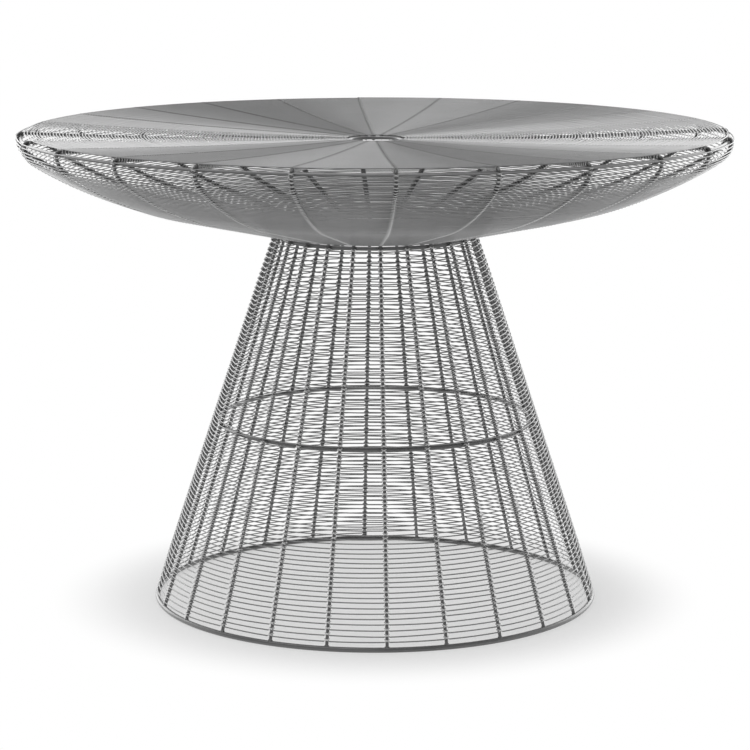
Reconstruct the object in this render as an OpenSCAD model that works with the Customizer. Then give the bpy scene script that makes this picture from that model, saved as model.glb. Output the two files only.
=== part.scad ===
// Wire coffee table: a wound wire cone that carries a wound, lens-shaped wire top.
// Millimetres. +Z is up, the origin is on the floor under the middle, and the front looks towards -Y.
// Profiles are drawn as [radius, height] points and turned about the table's axis.

/* [Overall] */
// Diameter of the top, over its wires
top_d = 700; // [600:5:760]
// Height of the rim's crest, over its wires
table_h = 468; // [440:1:500]
// How far the middle of the top face lies below its crest
dish = 9; // [6:0.5:14]

/* [Rods and wire] */
// Diameter of the rod that the ribs are cut from
rib_d = 3.2; // [2.8:0.1:4]
// Diameter of the wound wire
wire_d = 1.2; // [1:0.1:1.5]
// Diameter of the floor ring's rod
floor_rod = 5; // [4.6:0.2:7]
// Diameter of the mid ring's rod
mid_rod = 4; // [3:0.2:5]
// Diameter of the neck ring's rod
neck_rod = 4; // [3:0.2:5]
// Diameter of the rim hoop's rod
hoop_rod = 3.2; // [3:0.1:5]
// Diameter of the centre ring's rod
centre_rod = 3.2; // [3:0.1:4]

/* [Base] */
// Diameter of the floor ring, to the middle of its rod
floor_ring_d = 436; // [380:2:480]
// Diameter of the neck, where the axes of base ribs and top ribs meet
neck_d = 194; // [170:2:220]
// Height of the mid ring, at the ribs that it is welded to
mid_h = 181; // [140:1:220]
// Depth of the flat dressed on the underside of the floor ring
floor_flat = 0.3; // [0.2:0.1:0.5]

/* [Top] */
// Radius of the ribs' bend below the rim hoop
under_r = 20; // [16:0.5:24]
// Radius of the ribs' long curve under the top
bowl_r = 400; // [360:10:440]
// Slope of the ribs, in degrees, where their bend under the rim ends
bowl_slope = 32.3; // [30:0.1:34]
// Slope of the ribs' straight runs to the neck, in degrees
neck_slope = 12.5; // [10:0.5:15]
// Diameter of the centre ring, to the middle of its rod
centre_ring_d = 51; // [44:1:60]

/* [Ribs and windings] */
// Angle of the first rib, measured from the front
rib_phase = 3; // [0:0.5:7]
// Courses of wire on the base, counted from the floor up
base_courses = 85; // [80:90]
// How much wider the courses of the base lie at its two ends than halfway, as a share
base_spread = 0.35; // [0:0.05:0.5]
// Courses of wire on the top face, counted from the middle out
face_courses = 102; // [92:106]
// Courses of wire round the rim and under the top, counted from the rim in
bowl_courses = 74; // [68:78]

/* [Hidden] */

rod_grey = [0.33, 0.33, 0.34];
wire_grey = [0.46, 0.46, 0.47];
round_fn = 24;
ring_fn = 120;
// The wound wire has a plain eight-sided section, because there are so many courses of it
wire_sides = 8;
// Ribs in the base, and again in the top; each is a node of its own in the list above
ribs = 24;

// How deep a butted rib's end is notched over the rod that it is welded to
notch = 0.5;
// Radius by which the weld at a joint in a top rib stands proud of the rod
weld = 0.1;
// How far a top rib runs on over the neck ring
overhang = 2;
// From a rib's axis to the middle of the wire wound on it
lay = (rib_d + wire_d)/2;

// A point at angle a on the circle of radius r about c
function at(c, r, a) = c + r*[cos(a), sin(a)];
function unit(v) = v/norm(v);

// Rim: the top ribs turn round the hoop, then more widely below it
hoop_c = [top_d/2 - wire_d - rib_d - hoop_rod/2, table_h - wire_d - rib_d - hoop_rod/2];
rim_r = (hoop_rod + rib_d)/2;
under_c = hoop_c + [rim_r - under_r, 0];

// Top face: one wide arc, centred high above the table, that the rim's bend runs into
face_drop = rim_r - dish;
face_r = (pow(hoop_c.x, 2) + pow(face_drop, 2) - pow(rim_r, 2))/(2*dish);
face_c = [0, hoop_c.y + face_drop + face_r];
crest_a = atan2(face_c.y - hoop_c.y, -hoop_c.x);

// Bowl: the long curve under the top, and the straight run to the neck
bowl_a0 = bowl_slope - 90;
bowl_a1 = neck_slope - 90;
bowl_c = at(under_c, under_r - bowl_r, bowl_a0);
run_start = at(bowl_c, bowl_r, bowl_a1);
run_dir = [-cos(neck_slope), -sin(neck_slope)];
neck_p = run_start + run_dir*(run_start.x - neck_d/2)/cos(neck_slope);
run_end = neck_p + run_dir*(neck_rod + overhang);

// Base: a straight line from the middle of the floor ring's rod to the neck
foot = [floor_ring_d/2, floor_rod/2 - floor_flat];
base_up = unit(neck_p - foot);
base_out = [base_up.y, -base_up.x];
base_len = norm(neck_p - foot);

// Rings that lie against the inner side of the ribs
mid_c = foot + base_up*(mid_h - foot.y)/base_up.y - base_out*(mid_rod + rib_d)/2;
neck_off = (neck_rod + rib_d)/2;
neck_turn = acos(base_up*-run_dir);
neck_c = neck_p - base_out*neck_off - base_up*neck_off*(1 - cos(neck_turn))/sin(neck_turn);

// Centre ring: level with the inner ends of the top ribs
centre_r = centre_ring_d/2;
face_in_r = centre_r + centre_rod/2 - notch;
face_in_a = -acos(face_in_r/face_r);
centre_c = [centre_r, at(face_c, face_r, face_in_a).y];

// Base winding: distance of course k along a rib. The pitch is 1 + base_spread*|2u - 1|^3 times
// the least one at a share u of the way up, so it is widest at the floor and at the neck.
base_from = floor_rod/2 + 1.5*wire_d;
base_to = base_len - rib_d - 2*wire_d;
function spread(u) = (u + base_spread*(1 + sign(2*u - 1)*pow(2*u - 1, 4))/8)/(1 + base_spread/4);
function base_course(k) =
  let (s = base_from + (base_to - base_from)*spread(k/(base_courses - 1)))
  foot + base_up*s + base_out*lay;

// Face winding: radius of course k on the upper side of the ribs, from the centre ring to the crest
face_from = centre_r + centre_rod/2 + wire_d;
face_to = hoop_c.x - wire_d/2;
function face_course(k) =
  let (r = face_from + (face_to - face_from)*k/(face_courses - 1))
  [r, face_c.y - sqrt(pow(face_r - lay, 2) - r*r)];

// Angle, in degrees, at which the bowl's first course lies above the middle of the hoop
rim_angle = 30;

// Bowl winding: distance of course k along the outer side of the ribs, from the first course, on the
// turn round the hoop, to the neck
rim_len = (rim_r + lay)*rim_angle*PI/180;
under_end = rim_len + (under_r + lay)*(0 - bowl_a0)*PI/180;
curve_end = under_end + (bowl_r + lay)*(bowl_a0 - bowl_a1)*PI/180;
run_lay = at(bowl_c, bowl_r + lay, bowl_a1);
bowl_len = curve_end + norm(neck_p - run_start) - rib_d - 3*wire_d;
function bowl_at(s) =
  s < rim_len ? at(hoop_c, rim_r + lay, rim_angle - s/(rim_r + lay)*180/PI) :
  s < under_end ? at(under_c, under_r + lay, (rim_len - s)/(under_r + lay)*180/PI) :
  s < curve_end ? at(bowl_c, bowl_r + lay, bowl_a0 + (under_end - s)/(bowl_r + lay)*180/PI) :
  run_lay + run_dir*(s - curve_end);
function bowl_course(k) = bowl_at(bowl_len*k/(bowl_courses - 1));

// Each winding, split into the lengths of wire that it is made of
base_all = [for (k = [0 : base_courses - 1]) base_course(k)];
face_all = [for (k = [0 : face_courses - 1]) face_course(k)];
bowl_all = [for (k = [0 : bowl_courses - 1]) bowl_course(k)];
function share(all, i, n) = [for (k = [ceil(len(all)*i/n) : ceil(len(all)*(i + 1)/n) - 1]) all[k]];
function least_gap(all) = min([for (k = [1 : len(all) - 1]) norm(all[k] - all[k - 1])]) - wire_d;
echo(least_gap_base = least_gap(base_all), face = least_gap(face_all), bowl = least_gap(bowl_all));

// A round rod bent to a full ring about the table's axis
module ring(c, d) {
  rotate_extrude($fn = ring_fn) translate(c) circle(d = d, $fn = round_fn);
}

// An arc of rod in a rib's own upright plane
module bend(c, r, a0, a1, d) {
  translate([c.x, 0, c.y]) rotate([90, 0, 0]) rotate_extrude(angle = a1 - a0, start = a0, $fn = ring_fn)
    translate([r, 0]) circle(d = d, $fn = round_fn);
}

// A straight rod in a rib's own upright plane
module rod(p, q, d) {
  v = q - p;
  translate([p.x, 0, p.y]) rotate([0, atan2(v.x, v.y), 0]) cylinder(h = norm(v), d = d, $fn = round_fn);
}

// The dressed weld where two lengths of a rib meet
module joint(p) {
  translate([p.x, 0, p.y]) sphere(d = rib_d + 2*weld, $fn = round_fn);
}

// Puts a rib's plane at its place round the table
module at_rib(i) {
  rotate([0, 0, rib_phase - 90 + i*360/ribs]) children();
}

module floor_ring() {
  color(rod_grey) rotate_extrude($fn = ring_fn) intersection() {
    translate(foot) circle(d = floor_rod, $fn = round_fn);
    translate([foot.x - floor_rod, 0]) square(2*floor_rod);
  }
}

module mid_ring() {
  color(rod_grey) ring(mid_c, mid_rod);
}

module neck_ring() {
  color(rod_grey) ring(neck_c, neck_rod);
}

module rim_hoop() {
  color(rod_grey) ring(hoop_c, hoop_rod);
}

module centre_ring() {
  color(rod_grey) ring(centre_c, centre_rod);
}

// A straight rib, notched over the floor ring below and under a top rib above
module base_rib() {
  color(rod_grey) difference() {
    rod(foot, neck_p - base_up*(rib_d/2 - notch), rib_d);
    ring(foot, floor_rod);
    rod(run_start, run_end, rib_d);
  }
}

// A bent rib: the dished upper run, the turn round the hoop, the bowl and the run to the neck.
// The arcs stop short of each other inside the welds, so that no two of them touch.
short = 0.3;
function turn(r) = short/r*180/PI;
module top_rib() {
  color(rod_grey) difference() {
    union() {
      bend(face_c, face_r, face_in_a, crest_a - 180 - turn(face_r), rib_d);
      joint(at(hoop_c, rim_r, crest_a));
      bend(hoop_c, rim_r, 0, crest_a - turn(rim_r), rib_d);
      bend(under_c, under_r, bowl_a0 + turn(under_r), 0, rib_d);
      joint(at(under_c, under_r, bowl_a0));
      bend(bowl_c, bowl_r, bowl_a1 + turn(bowl_r), bowl_a0 - turn(bowl_r), rib_d);
      joint(run_start);
      rod(run_start + run_dir*short, run_end, rib_d);
    }
    ring(centre_c, centre_rod);
  }
}

// One length of wire: open courses, each joined to the next by a short riser.
// Angles are whole tenths of a degree, so a course and its riser end on the same plane,
// and each course begins a little further back than the one before, so that risers stay apart.
function tenths(a) = ceil(a*10)/10;
function riser_a(c) = tenths(wire_d/c.x*180/PI);
function back_a(c) = tenths(2*wire_d/c.x*180/PI);
function seams(all, k = 0, a = 90) = k == len(all) ? [] : concat([a], seams(all, k + 1, a - back_a(all[k])));
module winding(all) {
  from = seams(all);
  for (k = [0 : len(all) - 1]) {
    c = all[k];
    to = from[k] + 360 - back_a(c) - riser_a(c);
    translate([0, 0, c.y]) rotate_extrude(angle = to - from[k], start = from[k], $fn = ring_fn)
      translate([c.x, 0]) circle(d = wire_d, $fn = wire_sides);
    if (k < len(all) - 1) riser(c, all[k + 1], to, riser_a(c));
  }
}

// The riser's section is a hair wider than the wire, so each course's end lies wholly on it
module riser(p, q, a, wide) {
  w = 1.08*wire_d;
  v = q - p;
  rotate_extrude(angle = wide, start = a, $fn = ring_fn)
    translate(p) rotate(atan2(v.y, v.x)) translate([-w/2, -w/2]) square([norm(v) + w, w]);
}

module base_winding_lower() {
  color(wire_grey) winding(share(base_all, 0, 2));
}

module base_winding_upper() {
  color(wire_grey) winding(share(base_all, 1, 2));
}

module face_winding_inner() {
  color(wire_grey) winding(share(face_all, 0, 3));
}

module face_winding_middle() {
  color(wire_grey) winding(share(face_all, 1, 3));
}

module face_winding_outer() {
  color(wire_grey) winding(share(face_all, 2, 3));
}

module bowl_winding_outer() {
  color(wire_grey) winding(share(bowl_all, 0, 2));
}

module bowl_winding_inner() {
  color(wire_grey) winding(share(bowl_all, 1, 2));
}

function named(stem, i) = str(stem, i < 10 ? "0" : "", i);

floor_ring();
mid_ring();
neck_ring();
rim_hoop();
centre_ring();
base_winding_lower();
base_winding_upper();
face_winding_inner();
face_winding_middle();
face_winding_outer();
bowl_winding_outer();
bowl_winding_inner();
for (i = [1 : ribs]) {
  at_rib(i - 1) base_rib();
  at_rib(i - 1) top_rib();
}
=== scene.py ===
# Wire coffee table: the wound wire, its welds and its paint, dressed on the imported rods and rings.
# Everything is in metres. Profiles are [radius, height] points; angles round the table start at the front, -Y.
import math
import bpy
import numpy as np
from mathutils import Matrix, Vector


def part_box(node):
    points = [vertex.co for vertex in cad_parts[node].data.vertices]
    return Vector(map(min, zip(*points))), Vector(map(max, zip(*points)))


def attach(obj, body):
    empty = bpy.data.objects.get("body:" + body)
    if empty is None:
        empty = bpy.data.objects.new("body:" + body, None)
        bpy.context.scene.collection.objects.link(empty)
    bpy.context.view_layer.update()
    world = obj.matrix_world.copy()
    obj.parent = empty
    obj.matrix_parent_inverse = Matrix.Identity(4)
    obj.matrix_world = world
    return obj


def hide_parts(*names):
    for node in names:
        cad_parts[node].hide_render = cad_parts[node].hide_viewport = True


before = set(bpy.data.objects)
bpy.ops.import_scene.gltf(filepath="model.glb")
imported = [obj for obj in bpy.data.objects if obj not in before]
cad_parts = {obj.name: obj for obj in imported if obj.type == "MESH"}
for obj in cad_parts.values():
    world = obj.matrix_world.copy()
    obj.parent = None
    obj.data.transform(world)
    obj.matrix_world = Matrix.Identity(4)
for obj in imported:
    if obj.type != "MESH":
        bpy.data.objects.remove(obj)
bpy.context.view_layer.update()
print("frame loaded,", len(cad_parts), "nodes")

# What the whole table shares
table = dict(
    ribs=24,              # in the base, and as many in the top
    firstRib=3.0,         # degrees at which the first one stands
    ribRod=0.0032,        # diameter of their rod
    wire=0.0012,          # diameter of the wound wire
    windFrom=180.0,       # degrees from the first rib to the one at the back where each wire starts and ends
)
ribLay = (table["ribRod"] + table["wire"]) / 2      # from a rib's axis to the middle of the wire on it


# The ring's radius to the middle of its rod, the rod's middle height and the rod's diameter
def ringSizes(node):
    low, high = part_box(node)
    rod = high.z - low.z
    return high.x - rod / 2, (low.z + high.z) / 2, rod


hoopR, hoopZ, hoopRod = ringSizes("rim_hoop")
centreR, centreZ, centreRod = ringSizes("centre_ring")
midR, midZ, midRod = ringSizes("mid_ring")
neckR, neckZ = ringSizes("neck_ring")[:2]


# Point at an angle, in degrees, on the circle of that radius about a centre
def onArc(centre, radius, degrees):
    turn = np.radians(degrees)
    return np.stack([centre[0] + radius * np.cos(turn), centre[1] + radius * np.sin(turn)], -1)


# Turns profile points or directions about the table's axis: x = r sin, y = -r cos
def spun(profile, turn):
    r, z = profile[..., 0], profile[..., 1]
    return np.stack(np.broadcast_arrays(r * np.sin(turn), -r * np.cos(turn), z), -1)


# Base rib: a straight line from the floor ring to the neck. The pitch of its courses is wider by the spread at both
# ends, and the gaps to the welds there are in wires.
base = dict(floorRingR=0.218, floorRod=0.005, flat=0.0003, neckR=0.097, courses=85, spread=0.35,
            footGap=1.5, neckGap=2)
# Top rib: dished face, turn round the hoop, bend below it, long curve, straight run to the neck. Slopes are in
# degrees, and the wire under the top starts on the turn, that many degrees above its middle.
top = dict(dish=0.009, underR=0.020, bowlR=0.400, bowlSlope=32.3, neckSlope=12.5,
           faceCourses=102, bowlCourses=74, rimFrom=30.0, neckGap=3)

# Profile of a top rib's axis: middles and radii of its arcs, and the line of its straight run
hoopC = np.array([hoopR, hoopZ])
rimR = (hoopRod + table["ribRod"]) / 2
faceDrop = rimR - top["dish"]
faceR = (hoopR**2 + faceDrop**2 - rimR**2) / (2 * top["dish"])
faceC = np.array([0.0, hoopZ + faceDrop + faceR])
underC = np.array([hoopR + rimR - top["underR"], hoopZ])
bowlA0, bowlA1 = top["bowlSlope"] - 90, top["neckSlope"] - 90
bowlC = onArc(underC, top["underR"] - top["bowlR"], bowlA0)
runStart = onArc(bowlC, top["bowlR"], bowlA1)
runDir = -np.array([math.cos(math.radians(top["neckSlope"])), math.sin(math.radians(top["neckSlope"]))])
neckP = runStart + runDir * (runStart[0] - base["neckR"]) / -runDir[0]

# Profile of a base rib's axis: its foot, its length and the ways along it and out from it
footP = np.array([base["floorRingR"], base["floorRod"] / 2 - base["flat"]])
baseLen = np.linalg.norm(neckP - footP)
baseUp = (neckP - footP) / baseLen
baseOut = np.array([baseUp[1], -baseUp[0]])


# Rib frames: for a course number, the rib's axis point, the way out to the wire and the way along the rib.
# The base's pitch grows as 1 + spread |2u - 1|^3 from halfway up, where u is 1/2, to both ends.
def baseRibAt(course):
    u, spread = course / (base["courses"] - 1), base["spread"]
    share = (u + spread * (1 + (2 * u - 1) * abs(2 * u - 1)**3) / 8) / (1 + spread / 4)
    start = base["floorRod"] / 2 + base["footGap"] * table["wire"]
    end = baseLen - table["ribRod"] - base["neckGap"] * table["wire"]
    axis = footP + baseUp * (start + (end - start) * share)[:, None]
    return axis, np.broadcast_to(baseOut, axis.shape), np.broadcast_to(baseUp, axis.shape)


# The face's wire lies on an arc inside the ribs' own, at even steps of radius
def faceRibAt(course):
    start = centreR + centreRod / 2 + table["wire"]
    end = hoopR - table["wire"] / 2
    r = start + (end - start) * course / (top["faceCourses"] - 1)
    wireAt = np.stack([r, faceC[1] - np.sqrt((faceR - ribLay)**2 - r**2)], -1)
    out = (faceC - wireAt) / (faceR - ribLay)
    return wireAt - out * ribLay, out, np.stack([out[:, 1], -out[:, 0]], -1)


# Under the top the wire begins on the turn round the hoop, then follows the bend, the long curve and the run, at
# even steps of its length s
def bowlRibAt(course):
    rimEnd = (rimR + ribLay) * math.radians(top["rimFrom"])
    underEnd = rimEnd + (top["underR"] + ribLay) * math.radians(-bowlA0)
    curveEnd = underEnd + (top["bowlR"] + ribLay) * math.radians(bowlA0 - bowlA1)
    length = curveEnd + np.linalg.norm(neckP - runStart) - table["ribRod"] - top["neckGap"] * table["wire"]
    s = length * course / (top["bowlCourses"] - 1)
    onRim = top["rimFrom"] - np.degrees(s / (rimR + ribLay))
    onUnder = np.degrees((rimEnd - s) / (top["underR"] + ribLay))
    onCurve = bowlA0 + np.degrees((underEnd - s) / (top["bowlR"] + ribLay))
    atRim, atUnder = s < rimEnd, s < underEnd
    out = onArc((0, 0), 1.0, np.where(atRim, onRim, np.where(atUnder, onUnder, np.maximum(onCurve, bowlA1))))
    axis = np.where(atUnder[:, None], underC + out * top["underR"], bowlC + out * top["bowlR"])
    axis = np.where(atRim[:, None], hoopC + out * rimR, axis) + runDir * np.maximum(s - curveEnd, 0)[:, None]
    return axis, out, np.stack([out[:, 1], -out[:, 0]], -1)


def addObject(name, data):
    added = bpy.data.objects.new(name, data)
    bpy.context.scene.collection.objects.link(added)
    return added


# Mesh from vertices and quads, smooth all over
def meshPiece(name, verts, quads):
    mesh = bpy.data.meshes.new(name)
    mesh.vertices.add(len(verts))
    mesh.vertices.foreach_set("co", verts.astype(np.float32).ravel())
    mesh.loops.add(quads.size)
    mesh.loops.foreach_set("vertex_index", quads.astype(np.int32).ravel())
    mesh.polygons.add(len(quads))
    mesh.polygons.foreach_set("loop_start", np.arange(0, quads.size, 4, dtype=np.int32))
    mesh.polygons.foreach_set("use_smooth", np.ones(len(quads), bool))
    mesh.update(calc_edges=True)
    mesh.validate()
    return addObject(name, mesh)


# Quads of a skin over closed rows of points, one row after another
def bandQuads(rows, around):
    row = (np.arange(rows - 1) * around)[:, None]
    k = np.arange(around)[None, :]
    following = (k + 1) % around
    return np.stack([row + k, row + around + k, row + around + following, row + following], -1).reshape(-1, 4)


def unit(vectors):
    return vectors / np.linalg.norm(vectors, axis=-1, keepdims=True)


# How a wire is made and wound
wound = dict(
    sides=6,              # of the wire
    loopSteps=8,          # points to a turn round a rib
    spanSteps=4,          # stretches from one rib to the next
    past=0.0028,          # how far beside a rib its turn begins and ends
    most=0.0026,          # the highest climb over a rib
    uneven=0.00022,       # how far the crossings stray along their ribs
    settle=8,             # courses at each end in which the lift comes up from nothing
    liftBefore=0.5,       # share of the lift where a turn begins
    highlightAfter=0.6,      # share of the painted highlight where the wire comes out over the rib
    tieTurns=2,           # turns that tie off each end of a wire
    tiePitch=1.08,        # from one of these to the next, in wires
)


# Tube along the points: p + radius (cos t up + sin t side), squared to the path by the across vectors. Two quads
# close each end of its six sides.
def tube(points, across, radius):
    along = unit(np.gradient(points, axis=0))
    side = unit(np.cross(along, across))
    up = np.cross(side, along)
    turn = 2 * np.pi * np.arange(wound["sides"]) / wound["sides"]
    ring = points[:, None] + radius * (np.cos(turn)[:, None] * up[:, None] + np.sin(turn)[:, None] * side[:, None])
    cap = np.array([[0, 1, 2, 3], [0, 3, 4, 5]])
    farCap = cap[:, ::-1] + (len(points) - 1) * wound["sides"]
    return ring.reshape(-1, 3), np.concatenate([bandQuads(len(points), wound["sides"]), cap, farCap])


# Points between two ribs, on an arc about the table's axis that is drawn in towards its straight chord, which lies
# at cos(half) / cos(half (2 share - 1)) of the arc's radius
def bowedSpans(leave, arrive, bow):
    share = np.arange(1, wound["spanSteps"]) / wound["spanSteps"]
    r0, r1 = np.hypot(leave[:, 0], leave[:, 1]), np.hypot(arrive[:, 0], arrive[:, 1])
    a0, a1 = np.arctan2(leave[:, 0], -leave[:, 1]), np.arctan2(arrive[:, 0], -arrive[:, 1])
    half = ((a1 - a0) % (2 * np.pi))[:, None] / 2
    chord = np.cos(half) / np.cos(half * (2 * share - 1))
    r = (r0[:, None] + (r1 - r0)[:, None] * share) * (bow + (1 - bow) * chord)
    at = a0[:, None] + 2 * half * share
    z = leave[:, 2:] + (arrive - leave)[:, 2:] * share
    return np.stack([r * np.sin(at), -r * np.cos(at), z], -1)


# Path of the wire from one crossing of a rib to another, its across vectors, and its marks for the paint. It comes in
# over the rib and climbs as it crosses it, goes round behind, comes out under itself and leaves level with where it
# came in. On the turn it lies at axis + (lay + lift cos^2 a)(cos a out + sin a sideways) + climb rise along, lifted
# on its first quarter only.
def wirePath(ribAt, crossings, wobble, tieStart, tieEnd, way):
    course = crossings / table["ribs"]
    turn = np.radians(table["firstRib"] + table["windFrom"]) + 2 * np.pi * crossings / table["ribs"]
    axis, out, along = (spun(part, turn) for part in ribAt(course))
    axis = axis + along * wobble[crossings, None]
    sideways = np.stack([np.cos(turn), np.sin(turn), np.zeros(len(turn))], -1)
    steps = wound["loopSteps"]
    turns = np.arange(steps + 1) / steps
    a = 2 * np.pi * turns
    comingIn, behind = turns < 0.25, (turns > 0.25) & (turns < 0.75)
    rise = np.where(behind, 1.0, (1 + np.abs(np.sin(a))) / 2)
    pitch = np.linalg.norm(ribAt(course + 0.5)[0] - ribAt(course - 0.5)[0], axis=-1)
    climb = np.minimum(way["climb"] * pitch, wound["most"])[:, None]
    fromEnd = np.minimum(crossings, len(wobble) - 1 - crossings) / table["ribs"]
    lift = (way["lift"] * np.minimum(fromEnd / wound["settle"], 1))[:, None]

    # Points beside a rib: out, sideways and along it, one row a crossing
    def beside(outward, across, up):
        return (axis[:, None] + outward[..., None] * out[:, None] + across[..., None] * sideways[:, None]
                + up[..., None] * along[:, None])

    # A few turns side by side, round one rib
    def tie(which, turns):
        about = 2 * np.pi * turns[:, None]
        return (axis[which] + ribLay * (np.cos(about) * out[which] + np.sin(about) * sideways[which])
                + wound["tiePitch"] * table["wire"] * turns[:, None] * along[which])

    radius = ribLay + lift * np.where(comingIn, np.cos(a)**2, 0.0)
    level = np.zeros_like(climb)
    loops = np.concatenate([
        beside(ribLay + wound["liftBefore"] * lift, level - wound["past"], level),
        beside(radius * np.cos(a), radius * np.sin(a), climb * rise),
        beside(ribLay + level, level + wound["past"], level)], 1)
    spans = bowedSpans(loops[:-1, -1], loops[1:, 0], way["bow"])
    points = np.concatenate([loops[:-1], spans], 1).reshape(-1, 3)
    across = np.repeat(along[:-1], loops.shape[1] + spans.shape[1], 0)

    # Two marks a point: painted shade on the turn, standing in for the shade between its close turns, and a painted
    # highlight where it stands proud over the rib's outside, which falls as cos a, and down its sides, as |sin a|
    over = way["over"] * np.where(comingIn, 1.0, wound["highlightAfter"]) * np.maximum(np.cos(a), 0)
    onTurn = np.stack([np.full(steps + 1, way["grooveShade"]), over + way["sides"] * np.abs(np.sin(a))], -1)
    marks = np.tile(np.concatenate([np.zeros((1, 2)), onTurn, np.zeros((wound["spanSteps"], 2))]),
                    (len(crossings) - 1, 1))

    first = tie(0, np.arange(-steps * wound["tieTurns"], 0) / steps) if tieStart else np.zeros((0, 3))
    last = tie(-1, np.arange(steps * wound["tieTurns"] + 1) / steps) if tieEnd else loops[-1, :1]
    # The tying turns carry the painted shade but no painted highlight
    tied = np.array([[way["grooveShade"], 0]])
    return (np.concatenate([first, points, last]),
            np.concatenate([along[:1].repeat(len(first), 0), across, along[-1:].repeat(len(last), 0)]),
            np.concatenate([tied.repeat(len(first), 0), marks, tied.repeat(len(last), 0)]))


# One winding, made in as many equal lengths as the CAD model has nodes for it
def winding(ribAt, courses, nodes, way):
    total = (courses - 1) * table["ribs"] + 1
    wobble = np.random.default_rng(way["seed"]).normal(0, wound["uneven"], total)
    ends = [round(total * (i / len(nodes))) for i in range(len(nodes))] + [total - 1]
    pieces = []
    for i, node in enumerate(nodes):
        crossings = np.arange(ends[i], ends[i + 1] + 1)
        points, across, marks = wirePath(ribAt, crossings, wobble, i == 0, i == len(nodes) - 1, way)
        piece = meshPiece(node.replace("winding", "wire"), *tube(points, across, table["wire"] / 2))
        # The painted shade and the painted highlight go on the wire's points as two marks
        for name, values in zip(("grooveShade", "paintedHighlight"), marks.T):
            mark = piece.data.attributes.new(name, "FLOAT", "POINT")
            mark.data.foreach_set("value", np.repeat(values, wound["sides"]).astype(np.float32))
        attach(piece, "root")
        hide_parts(node)
        pieces.append(piece)
    return pieces


# How far each winding climbs over a rib, as a share of its pitch, how high it lifts over itself there, how far it
# bows out between the ribs, from 0 for a straight chord to 1 for a round arc, how dark the painted shade on its
# turns is, and how bright the painted highlight on its turns is where they run over the rib and down its sides.
# Above 1 the brightest stretch of a turn grows longer.
baseWay = dict(seed=3, climb=0.6, lift=0.0010, bow=1.0, grooveShade=0.15, over=2.5, sides=0.0)
faceWay = dict(seed=5, climb=0.15, lift=0.0004, bow=0.9, grooveShade=0.6, over=0.0, sides=0.8)
bowlWay = dict(seed=8, climb=0.6, lift=0.0006, bow=0.7, grooveShade=0.15, over=0.6, sides=0.0)
wires = winding(baseRibAt, base["courses"], ["base_winding_lower", "base_winding_upper"], baseWay)
wires += winding(faceRibAt, top["faceCourses"],
                 ["face_winding_inner", "face_winding_middle", "face_winding_outer"], faceWay)
wires += winding(bowlRibAt, top["bowlCourses"], ["bowl_winding_outer", "bowl_winding_inner"], bowlWay)
print("wire wound,", sum(len(w.data.polygons) for w in wires), "faces")

beadPoints = dict(around=8, down=5)       # points round a bead, and rows of them from end to end


# Weld beads, one at each rib: squashed spheres, middle + a sin p cos q sideways + b sin p sin q outward + c cos p
# upward. Three quads close each end of a bead.
def weldBeads(name, place, shift, size):
    around, down = beadPoints["around"], beadPoints["down"]
    turn = np.radians(table["firstRib"]) + 2 * np.pi * np.arange(table["ribs"]) / table["ribs"]
    middle = spun(np.add(place, shift), turn)
    outward, upward = spun(np.array([1.0, 0.0]), turn), spun(np.array([0.0, 1.0]), turn)
    sideways = np.cross(upward, outward)
    p, q = np.meshgrid(np.pi * (np.arange(down) + 0.5) / down, 2 * np.pi * np.arange(around) / around, indexing="ij")
    shell = (size[0] * (np.sin(p) * np.cos(q))[None, ..., None] * sideways[:, None, None]
             + size[1] * (np.sin(p) * np.sin(q))[None, ..., None] * outward[:, None, None]
             + size[2] * np.cos(p)[None, ..., None] * upward[:, None, None])
    cap = np.array([[0, 1, 2, 3], [0, 3, 4, 7], [4, 5, 6, 7]])
    farCap = cap[:, ::-1] + (down - 1) * around
    oneBead = np.concatenate([bandQuads(down, around), cap, farCap])
    quads = (oneBead[None] + (np.arange(table["ribs"]) * down * around)[:, None, None]).reshape(-1, 4)
    piece = meshPiece(name, (middle[:, None, None] + shell).reshape(-1, 3), quads)
    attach(piece, "root")
    return piece


# Where each set of beads sits on its rods, how far it is moved out and up from there, and its half sizes sideways,
# outward and upward
beads = {
    "foot_welds": dict(place=footP + baseUp * (base["floorRod"] / 2), shift=(0, 0), size=(0.0027, 0.0023, 0.0014)),
    "mid_welds": dict(place=(midR + midRod / 2, midZ), shift=(0, 0), size=(0.0024, 0.0010, 0.0017)),
    "neck_welds": dict(place=neckP - baseUp * table["ribRod"] / 2, shift=(0, 0), size=(0.0022, 0.0022, 0.0013)),
    "neck_ring_welds": dict(place=(neckR, neckZ), shift=(0.0017, 0.0013), size=(0.0024, 0.0012, 0.0012)),
    "hoop_welds": dict(place=(hoopR - hoopRod / 2, hoopZ), shift=(0.0002, 0.0016), size=(0.0023, 0.0011, 0.0015)),
    "centre_welds": dict(place=(centreR + centreRod / 2, centreZ), shift=(-0.0001, 0), size=(0.0020, 0.0011, 0.0017)),
}
welds = [weldBeads(name, **bead) for name, bead in beads.items()]
print("welds laid")


# A socket in a material. Sums, differences and products of sockets add the Math nodes that work them out.
class Value:
    def __init__(self, paint, socket):
        self.paint, self.socket = paint, socket

    def math(self, operation, first, second):
        return self.paint.node("ShaderNodeMath", dict(operation=operation), {0: first, 1: second})

    def __add__(self, other): return self.math("ADD", self, other)
    def __radd__(self, other): return self.math("ADD", other, self)
    def __sub__(self, other): return self.math("SUBTRACT", self, other)
    def __rsub__(self, other): return self.math("SUBTRACT", other, self)
    def __mul__(self, other): return self.math("MULTIPLY", self, other)
    def __rmul__(self, other): return self.math("MULTIPLY", other, self)


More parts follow.
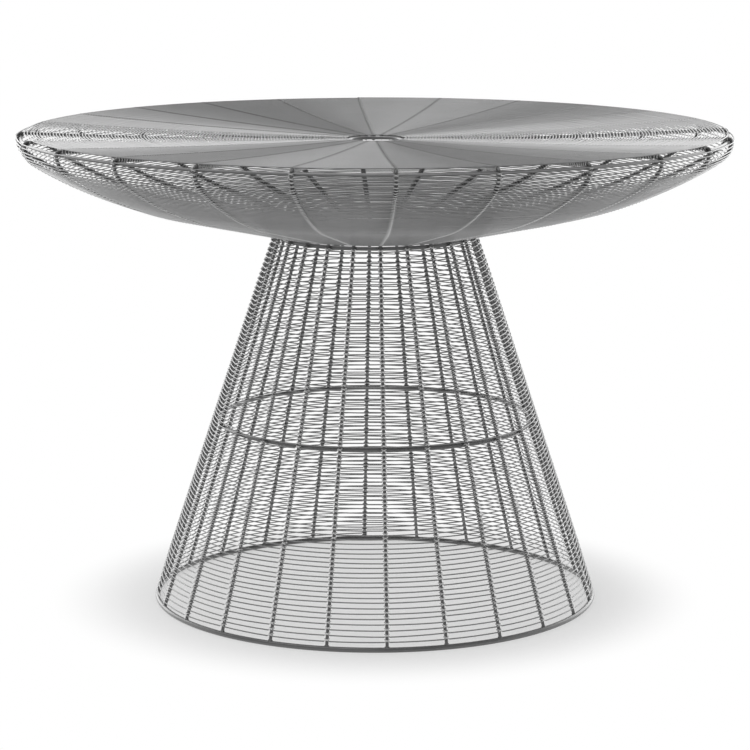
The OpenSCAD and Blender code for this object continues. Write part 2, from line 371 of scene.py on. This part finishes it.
class Paint:
    def __init__(self, owner, kind="Material"):
        owner.use_nodes = True
        self.owner, self.tree = owner, owner.node_tree
        self.tree.nodes.clear()
        self.out = self.tree.nodes.new("ShaderNodeOutput" + kind)

    # Adds a node of that type: its settings first, then the values or links of its sockets
    def node(self, kind, settings=None, sockets=None, output=0):
        made = self.tree.nodes.new(kind)
        for key, setting in (settings or {}).items():
            setattr(made, key, setting)
        for key, value in (sockets or {}).items():
            if isinstance(value, Value):
                self.tree.links.new(value.socket, made.inputs[key])
            else:
                made.inputs[key].default_value = value
        return Value(self, made.outputs[output])

    # Mixes two colours, by the Mix node's colour sockets
    def mix(self, factor, first, second):
        return self.node("ShaderNodeMix", dict(data_type="RGBA"), {0: factor, 6: first, 7: second}, 2)

    # Goes smoothly from low to 1 as a value passes between two limits
    def passing(self, value, limits, low=0.0):
        return self.node("ShaderNodeMapRange", dict(interpolation_type="SMOOTHSTEP"), {
            "Value": value, "From Min": limits[0], "From Max": limits[1], "To Min": low, "To Max": 1.0})

    def noise(self, where, scale, detail):
        return self.node("ShaderNodeTexNoise", None, {"Vector": where, "Scale": scale, "Detail": detail})

    def finish(self, shader):
        self.tree.links.new(shader.socket, self.out.inputs["Surface"])
        return self.owner


def newPaint(name):
    return Paint(bpy.data.materials.new(name))


def grey(level, tint=0.0):
    return (level * (1 - tint), level, level * (1 + tint), 1.0)


# Powder coat. Its three noises are given by their scale and detail, and what has no unit is a share.
coat = dict(
    drift=(14.0, 3.0),        # slow drifts of tone
    speckle=(900.0, 2.0),     # fine speckle
    peel=(2600.0, 1.0),       # orange peel
    driftShare=0.8,           # share of the drifts in the tone
    speckleShare=0.2,         # share of the speckle in the tone
    tint=0.004,               # touch of blue
    stray=0.12,               # how far the roughness strays with the speckle
    depth=0.00005,            # of the orange peel
    ior=1.5,
    clear=0.16,               # roughness of the clear top layer
    grooveShadeGrey=0.0,            # grey of the painted shade between the turns
    paintedHighlight=0.8,               # grey of the painted highlight where the wire stands proud of a rib
)


# Where the wire is wrapped round a rib its coat is painted darker, as painted shade between the close turns, and
# where it stands proud of the rib it is painted brighter, as a painted highlight, by the marks on its points
def coatedSteel(name, dark, light, roughness, metallic, peel, wrapped=False):
    paint = newPaint(name)
    where = paint.node("ShaderNodeTexCoord", output="Object")
    drift, speckle, skin = (paint.noise(where, *coat[part]) for part in ("drift", "speckle", "peel"))
    tone = paint.mix(drift * coat["driftShare"] + speckle * coat["speckleShare"],
                     grey(dark, coat["tint"]), grey(light, coat["tint"]))
    if wrapped:
        # Painted shade, then a painted highlight, laid over the tone by the marks
        for mark, level in (("grooveShade", coat["grooveShadeGrey"]), ("paintedHighlight", coat["paintedHighlight"])):
            marked = paint.node("ShaderNodeAttribute", dict(attribute_name=mark), output="Fac")
            tone = paint.mix(marked, tone, grey(level))
    bump = paint.node("ShaderNodeBump", None, {"Strength": peel, "Distance": coat["depth"], "Height": skin})
    return paint.finish(paint.node("ShaderNodeBsdfPrincipled", None, {
        "Base Color": tone, "Roughness": roughness + coat["stray"] * (speckle - 0.5), "Metallic": metallic,
        "Normal": bump, "IOR": coat["ior"], "Coat Weight": 1.0, "Coat Roughness": coat["clear"]}))


# The top's ribs show mostly between the close turns of the wire, where shade falls, so their coat is painted darker
# than the rods', as painted shade
rodPaint = coatedSteel("rod coat", dark=0.15, light=0.20, roughness=0.36, metallic=0.4, peel=0.12)
wirePaint = coatedSteel("wire coat", dark=0.22, light=0.28, roughness=0.30, metallic=0.5, peel=0.1, wrapped=True)
ribShadePaint = coatedSteel("rib coat with painted shade", dark=0.07, light=0.10, roughness=0.40, metallic=0.4, peel=0.12)
for name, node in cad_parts.items():
    node.data.materials.clear()
    node.data.materials.append(ribShadePaint if name.startswith("top_rib") else rodPaint)
for piece in wires:
    piece.data.materials.append(wirePaint)
for piece in welds:
    piece.data.materials.append(rodPaint)
print("paint on")

# Studio: a wide pale floor that fades into a white backdrop, with a dimmer room in front of the table
studio = dict(
    floorHalf=30.0,           # half the floor's width
    floorGrey=0.90,
    glow=0.5,                 # share of plain white in the floor within the table's ring, as the camera sees it
    fade=(0.222, 0.33),       # distances from the middle between which that share rises to 1
    room=0.32,                # strength of the room, where the backdrop's is 1
    behind=(-0.2, 0.3),       # part of a direction along Y over which the room turns into the backdrop
    above=(0.5, 0.9),         # part of it along Z over which the backdrop turns back into the room
)

corners = np.array([[-1, -1, 0], [1, -1, 0], [1, 1, 0], [-1, 1, 0]], float)
floor = meshPiece("floor", studio["floorHalf"] * corners, np.array([[0, 1, 2, 3]]))
floorPaint = newPaint("studio floor")
where = floorPaint.node("ShaderNodeTexCoord", output="Object")
away = floorPaint.node("ShaderNodeVectorMath", dict(operation="LENGTH"), {0: where}, "Value")
fade = floorPaint.passing(away, studio["fade"], studio["glow"])
lit = floorPaint.node("ShaderNodeBsdfDiffuse", None, {"Color": grey(studio["floorGrey"])})
glow = floorPaint.node("ShaderNodeEmission", None, {"Color": grey(1.0), "Strength": 1.0})

# 1 for rays from the camera and for those that metal and gloss send out, which see the white background too
fromCamera = floorPaint.node("ShaderNodeLightPath", output="Is Camera Ray")
fromGloss = floorPaint.node("ShaderNodeLightPath", output="Is Glossy Ray")
seen = fromCamera.math("MAXIMUM", fromCamera, fromGloss)
floor.data.materials.append(floorPaint.finish(
    floorPaint.node("ShaderNodeMixShader", None, {0: seen * fade, 1: lit, 2: glow})))

# The backdrop is white: behind the table and up to a little above the camera's view. The rest is the dimmer room.
bpy.context.scene.world = bpy.data.worlds.new("studio")
sky = Paint(bpy.context.scene.world, "World")
heading = sky.node("ShaderNodeTexCoord", output="Generated")
back, up = (sky.node("ShaderNodeSeparateXYZ", None, {0: heading}, axis) for axis in "YZ")
backdrop = sky.passing(back, studio["behind"]) * (1 - sky.passing(up, studio["above"]))
strength = studio["room"] + (1 - studio["room"]) * backdrop
sky.finish(sky.node("ShaderNodeBackground", None, {"Color": grey(1.0), "Strength": strength}))

# Soft boxes: square lamps above and behind the table, turned to look at it
boxes = {
    "overhead box": dict(place=(-0.6, -0.5, 3.0), size=2.4, power=27.0),
    "left back box": dict(place=(-2.1, 2.5, 1.1), size=2.2, power=15.0),
    "right back box": dict(place=(2.1, 2.5, 1.1), size=2.2, power=15.0),
}
litPoint = (0, 0, 0.3)
for name, box in boxes.items():
    lamp = bpy.data.lights.new(name, "AREA")
    lamp.shape, lamp.size, lamp.energy = "SQUARE", box["size"], box["power"]
    look = np.subtract(litPoint, box["place"])
    lampObject = addObject(name, lamp)
    lampObject.location = box["place"]
    lampObject.rotation_euler = (math.atan2(math.hypot(look[0], look[1]), -look[2]), 0,
                                 math.atan2(look[0], -look[1]) + math.pi)

# Camera: the photograph's viewpoint, in front, a little above the top and looking slightly down. Its pitch is in
# radians, its focal length and frame are in pixels, and its sensor is in millimetres.
view = dict(distance=2.7805, height=0.7443, pitch=0.1855, focal=2846.2, frame=750, sensor=36.0, clipEnd=100.0)
camera = bpy.data.cameras.new("camera")
camera.sensor_width = view["sensor"]
camera.lens = view["focal"] / view["frame"] * view["sensor"]
camera.clip_end = view["clipEnd"]
cameraObject = addObject("camera", camera)
cameraObject.location = (0, -view["distance"], view["height"])
cameraObject.rotation_euler = (math.pi / 2 - view["pitch"], 0, 0)
bpy.context.scene.camera = cameraObject
bpy.context.scene.view_settings.view_transform = "Standard"
print("studio ready")
